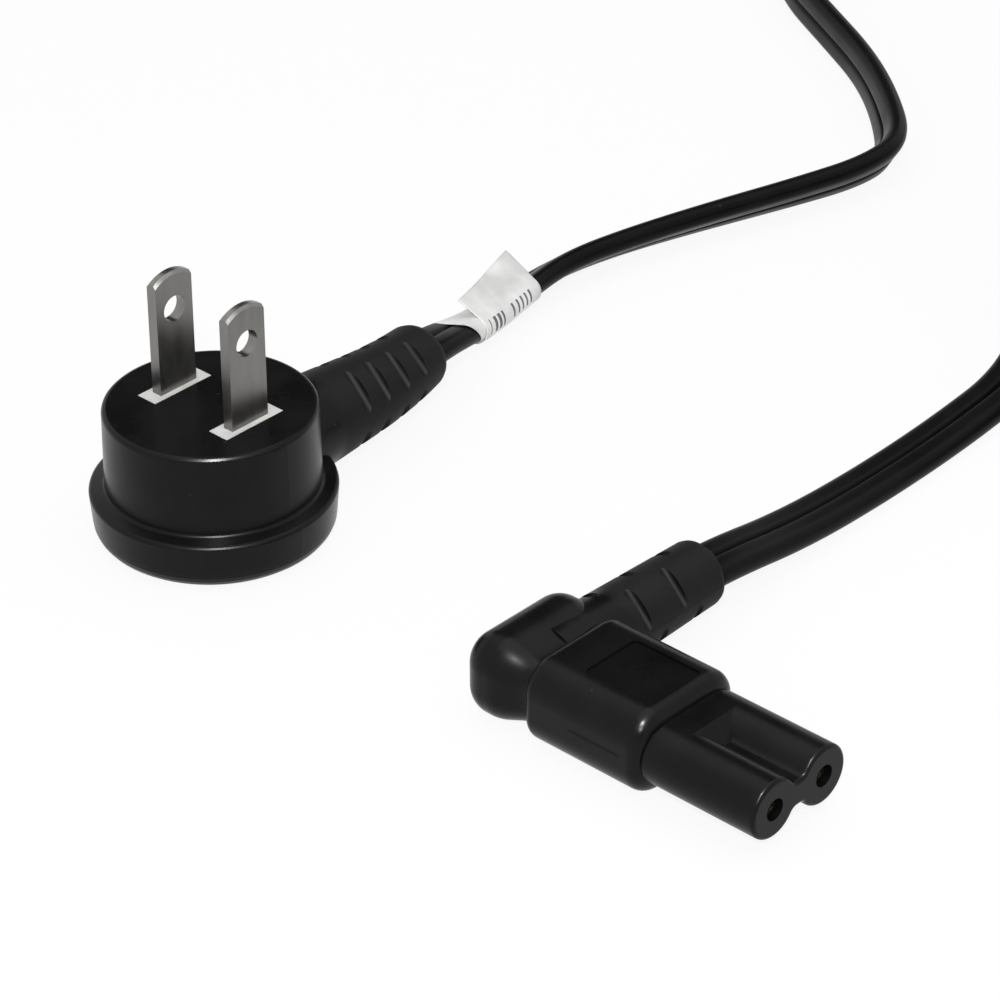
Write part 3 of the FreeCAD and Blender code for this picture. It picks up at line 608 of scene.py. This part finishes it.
class PowerCordFinishMouldings(bpy.types.Operator):
    """Finishes the connector's and the plug's black mouldings"""
    bl_idname = "power_cord.finish_mouldings"
    bl_label = "Finish mouldings"

    def execute(self, context):
        moulding = context.scene.power_cord_moulding
        colour = tuple(moulding.colour)
        soft = plastic("moulding_black", colour, moulding.roughness)
        hard = plastic("nose_black", colour, moulding.nose_roughness, grain=7000.0, height=0.000003,
                       specular=0.12)
        plug = plastic("plug_black", colour, moulding.roughness)
        matt_beyond(soft, *CONNECTOR_MATT)
        matt_beyond(plug, *PLUG_MATT)
        dress("connector_overmould", soft)
        dress("plug_overmould", plug)
        dress("connector_insert", hard)
        self.add_seam(moulding, soft)
        return {"FINISHED"}

    @staticmethod
    def add_seam(moulding, material):
        """Fine parting line on the block's side, half way up."""
        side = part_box("connector_overmould")[0][1]
        half, proud = moulding.seam_length / 2, moulding.seam_height
        middle = Vector((SEAM_X, side, SEAM_Z))
        builder = bmesh.new()
        rings = []
        for step in range(SEAM_STEPS + 1):
            share = step / SEAM_STEPS
            taper = math.sin(math.pi * share) ** SEAM_TAPER if 0 < share < 1 else SEAM_END
            x = middle.x - half + moulding.seam_length * share
            ring = []
            for corner in range(SEAM_CORNERS + 1):
                angle = math.pi * corner / SEAM_CORNERS
                y = side - proud * taper * math.sin(angle) + proud * SEAM_SINK
                z = middle.z + proud * SEAM_SPREAD * math.cos(angle)
                ring.append(builder.verts.new((x, y, z)))
            rings.append(ring)
        skin_rings(builder, rings)
        seam = built_object("block_seam", builder)
        seam.data.materials.append(material)
        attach(seam, ROOT)


class PowerCordFinishMetal(bpy.types.Operator):
    """Finishes the blades, contacts and bare strands"""
    bl_idname = "power_cord.finish_metal"
    bl_label = "Finish metal"

    def execute(self, context):
        # The blades' colour is nickel darkened all over: painted shade
        blade = metal("blade_nickel_painted_shade", tuple(context.scene.power_cord_metal.blade), roughness=0.3,
                      stretch=(1, 1, 0.25), grain=900.0, height=0.000001)
        # The contacts' brass is made far darker than brass: painted shade for the holes that they sit in
        shaded_brass = metal("contact_brass", (0.17, 0.125, 0.06), roughness=0.5, stretch=(0.15, 1, 1))
        copper = metal("strand_copper", (0.78, 0.38, 0.22), roughness=0.32, stretch=(0.2, 1, 1), grain=4000.0)
        for side in ("left", "right"):
            dress("plug_blade_" + side, blade)
            dress("connector_contact_" + side, shaded_brass)
            dress("connector_strands_" + side, copper)
            dress("plug_strands_" + side, copper)
        return {"FINISHED"}


class PowerCordFinishInner(bpy.types.Operator):
    """Finishes the white bridge and the cores' insulation"""
    bl_idname = "power_cord.finish_inner"
    bl_label = "Finish bridge and cores"

    def execute(self, context):
        white = plastic("bridge_white", (0.50, 0.50, 0.49), roughness=0.5, grain=4000.0, height=0.000003,
                        specular=0.3)
        light = plastic("core_light", (0.75, 0.75, 0.72), roughness=0.45, grain=4000.0, specular=0.5)
        dark = plastic("core_dark", (0.02, 0.02, 0.02), roughness=0.45, grain=4000.0, specular=0.5)
        dress("plug_bridge", white)
        dress("plug_lead_left", light)
        dress("plug_lead_right", dark)
        dress("connector_lead_left", dark)
        dress("connector_lead_right", light)
        return {"FINISHED"}


def seen_share(tree):
    """One where a ray comes from the camera, a reflection or a clear piece."""
    path = tree.nodes.new("ShaderNodeLightPath")
    share = path.outputs["Is Camera Ray"]
    for name in ("Is Glossy Ray", "Is Transmission Ray"):
        larger = tree.nodes.new("ShaderNodeMath")
        larger.operation = "MAXIMUM"
        tree.links.new(share, larger.inputs[0])
        tree.links.new(path.outputs[name], larger.inputs[1])
        share = larger.outputs["Value"]
    return share


def aim(holder, place, axis):
    """Puts an object at a place and turns one of its axes to the target."""
    holder.location = place
    holder.rotation_euler = (TARGET - Vector(place)).to_track_quat(axis, "Y").to_euler()


def soft_lamp(name, place, size, power):
    """Square soft lamp aimed at the target."""
    lamp = bpy.data.lights.new(name, "AREA")
    lamp.shape = "SQUARE"
    lamp.size = size
    lamp.energy = power
    holder = linked_object(name, lamp)
    aim(holder, place, "-Z")
    return holder


class PowerCordSetStage(bpy.types.Operator):
    """Sets the floor, the lamps, the surroundings and the camera"""
    bl_idname = "power_cord.set_stage"
    bl_label = "Set stage"

    def execute(self, context):
        scene = context.scene
        stage = scene.power_cord_stage
        scene.view_settings.view_transform = "Standard"
        self.lay_floor(stage.floor_size)
        self.light_world(scene)
        matrix = self.camera_axes(stage)
        back = Vector(matrix.col[2][:3])
        matrix.translation = TARGET + back * stage.distance
        self.place_camera(scene, stage.lens, matrix)
        self.hang_lamps(back)
        return {"FINISHED"}

    @staticmethod
    def camera_axes(stage):
        """Camera matrix from its angles."""
        azimuth, elevation = stage.azimuth, stage.elevation
        back = Vector((math.sin(azimuth) * math.cos(elevation),
                       -math.cos(azimuth) * math.cos(elevation),
                       math.sin(elevation)))
        right = Vector((math.cos(azimuth), math.sin(azimuth), 0))
        upward = back.cross(right)
        turn = Matrix.Rotation(stage.roll, 3, back)
        right, upward = turn @ right, turn @ upward
        return Matrix((right, upward, back)).transposed().to_4x4()

    @staticmethod
    def place_camera(scene, lens, matrix):
        """The photograph's camera."""
        camera = bpy.data.cameras.new("camera")
        camera.lens = lens
        camera.sensor_width = SENSOR_WIDTH
        camera.clip_start = CLIP_START
        holder = linked_object("camera", camera)
        holder.matrix_world = matrix
        scene.camera = holder

    def hang_lamps(self, back):
        """Key lamp by the camera, a small high one for glints, a wide one above, and two dark cards."""
        soft_lamp("key", TARGET + back * KEY_DISTANCE + KEY_SHIFT, size=0.05, power=2.6)
        high = Vector((back.x * GLINT_REACH, back.y * GLINT_REACH, GLINT_HEIGHT))
        glint = soft_lamp("glint", TARGET + high, size=0.035, power=8.0)
        glint.visible_diffuse = False
        soft_lamp("top", TOP_PLACE, size=0.9, power=3.0)
        self.hang_flag("near_flag", TARGET + back * CARD_DISTANCE, 0.55)
        self.hang_flag("far_flag", TARGET + Vector((-back.x, -back.y, back.z)) * CARD_DISTANCE, 0.5)

    @staticmethod
    def hang_flag(name, place, side):
        """Dark card that only reflections see, as a studio has round glossy black things."""
        card = square(name, side)
        aim(card, place, "Z")
        felt = shineless(name + "_felt", 40.0, dark=0.010, light=0.016, roughness=0.95)[0]
        card.data.materials.append(felt)
        card.visible_camera = False
        card.visible_diffuse = False
        card.visible_shadow = False
        card.visible_transmission = False

    @staticmethod
    def lay_floor(side):
        """White floor that keeps a soft shadow."""
        floor = square("floor", side)
        material, tree, shader = shineless("floor_white", 3.0, dark=0.80, light=0.82, roughness=0.9)
        glow = tree.nodes.new("ShaderNodeEmission")
        mix = tree.nodes.new("ShaderNodeMixShader")
        part = tree.nodes.new("ShaderNodeMath")
        part.operation = "MULTIPLY"
        part.inputs[1].default_value = FLOOR_GLOW
        tree.links.new(seen_share(tree), part.inputs[0])
        tree.links.new(part.outputs["Value"], mix.inputs["Fac"])
        tree.links.new(shader.outputs["BSDF"], mix.inputs[1])
        tree.links.new(glow.outputs["Emission"], mix.inputs[2])
        output = next(node for node in tree.nodes if node.type == "OUTPUT_MATERIAL")
        tree.links.new(mix.outputs["Shader"], output.inputs["Surface"])
        floor.data.materials.append(material)

    @staticmethod
    def light_world(scene):
        """Even surroundings, seen as white."""
        world = bpy.data.worlds.new("surroundings")
        scene.world = world
        world.use_nodes = True
        tree = world.node_tree
        background = next(node for node in tree.nodes if node.type == "BACKGROUND")
        background.inputs["Color"].default_value = (1, 1, 1, 1)
        strength = value_range(tree, seen_share(tree), 0.0, 1.0, WORLD_LIGHT, WORLD_SEEN)
        tree.links.new(strength, background.inputs["Strength"])


class PowerCordPanel(bpy.types.Panel):
    """Sidebar panel with the steps and their values"""
    bl_idname = "VIEW3D_PT_power_cord"
    bl_label = "Power cord"
    bl_space_type = "VIEW_3D"
    bl_region_type = "UI"
    bl_category = "Power cord"

    def draw(self, context):
        for operator in OPERATORS:
            self.layout.operator(operator.bl_idname)
        for name in GROUPS:
            group = getattr(context.scene, name)
            for value in group.bl_rna.properties.keys():
                if value not in ("rna_type", "name"):
                    self.layout.prop(group, value)


GROUPS = {
    "power_cord_sheath": PowerCordSheath,
    "power_cord_moulding": PowerCordMoulding,
    "power_cord_metal": PowerCordMetal,
    "power_cord_label": PowerCordLabel,
    "power_cord_stage": PowerCordStage,
}
OPERATORS = (
    PowerCordWrapLabel, PowerCordLayCord, PowerCordFinishMouldings,
    PowerCordFinishMetal, PowerCordFinishInner, PowerCordSetStage,
)


def register():
    """Registers the groups, the steps and the panel."""
    for name, group in GROUPS.items():
        bpy.utils.register_class(group)
        setattr(bpy.types.Scene, name, PointerProperty(type=group))
    for operator in OPERATORS:
        bpy.utils.register_class(operator)
    bpy.utils.register_class(PowerCordPanel)


def unregister():
    """Takes the add-on's classes away again."""
    bpy.utils.unregister_class(PowerCordPanel)
    for operator in reversed(OPERATORS):
        bpy.utils.unregister_class(operator)
    for name, group in GROUPS.items():
        delattr(bpy.types.Scene, name)
        bpy.utils.unregister_class(group)


def main():
    """Runs every step in order."""
    register()
    bpy.ops.power_cord.wrap_label()
    bpy.ops.power_cord.lay_cord()
    bpy.ops.power_cord.finish_mouldings()
    bpy.ops.power_cord.finish_metal()
    bpy.ops.power_cord.finish_inner()
    bpy.ops.power_cord.set_stage()


if __name__ == "__main__":
    main()
